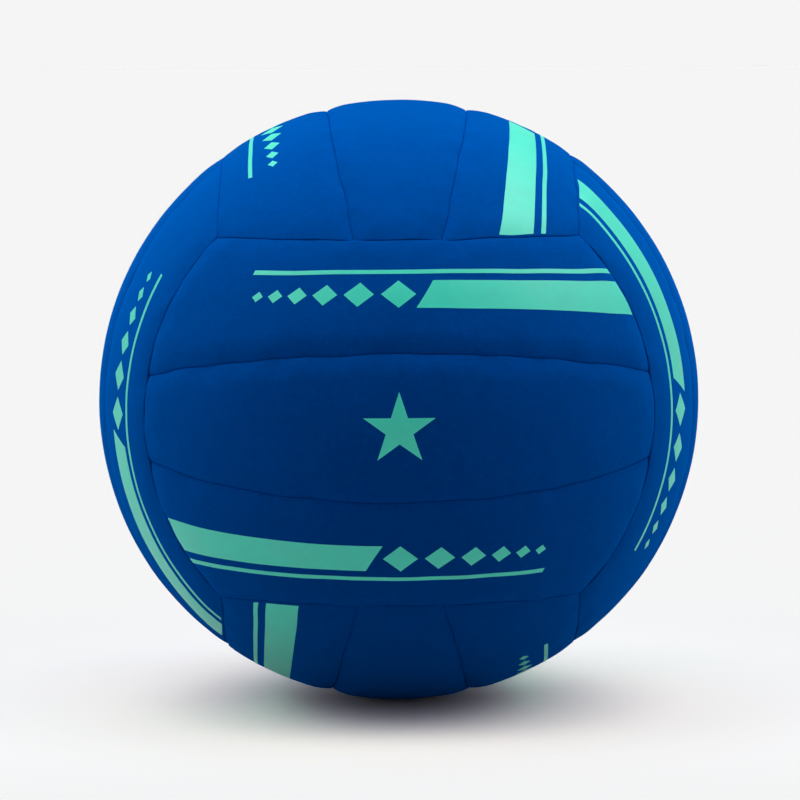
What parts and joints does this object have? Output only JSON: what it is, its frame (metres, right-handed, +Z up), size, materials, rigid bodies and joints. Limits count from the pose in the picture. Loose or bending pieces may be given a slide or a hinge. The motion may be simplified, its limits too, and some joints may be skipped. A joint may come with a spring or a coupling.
{
  "type": "volleyball",
  "caption": "Soft blue indoor volleyball: sewn padded strips in groups that run square to each other, over a rubber bladder with a needle valve.",
  "frame": {"origin": "centre of the small flat under the ball, on the surface that it stands on", "axes": "+Z up through the ball's centre, the front group's strips run along X and face -Y, the valve faces +Y"},
  "size_m": [0.212, 0.2119, 0.2115],
  "materials": {
    "cover": "soft matt knit",
    "padding": "foam with a cloth back",
    "thread": "waxed thread",
    "bladder": "smooth butyl",
    "valve": "moulded rubber",
    "valve_core": "soft rubber"
  },
  "bodies": {
    "root": {"cover_front_upper": "cover", "cover_front_middle": "cover", "cover_front_lower": "cover", "cover_back_upper": "cover", "cover_back_middle": "cover", "cover_back_lower": "cover", "cover_top_right": "cover", "cover_top_middle": "cover", "cover_top_left": "cover", "cover_bottom_right": "cover", "cover_bottom_middle": "cover", "cover_bottom_left": "cover", "cover_left_back": "cover", "cover_left_middle": "cover", "cover_left_front": "cover", "cover_right_back": "cover", "cover_right_middle": "cover", "cover_right_front": "cover", "padding_front_upper": "padding", "padding_front_middle": "padding", "padding_front_lower": "padding", "padding_back_upper": "padding", "padding_back_middle": "padding", "padding_back_lower": "padding", "padding_top_right": "padding", "padding_top_middle": "padding", "padding_top_left": "padding", "padding_bottom_right": "padding", "padding_bottom_middle": "padding", "padding_bottom_left": "padding", "padding_left_back": "padding", "padding_left_middle": "padding", "padding_left_front": "padding", "padding_right_back": "padding", "padding_right_middle": "padding", "padding_right_front": "padding", "stitching_front": "thread", "stitching_back": "thread", "stitching_top": "thread", "stitching_bottom": "thread", "stitching_left": "thread", "stitching_right": "thread", "bladder": "bladder", "valve_housing": "valve", "valve_core": "valve_core", "valve_patch": "valve", "valve_collar": "valve"}
  },
  "joints": []
}
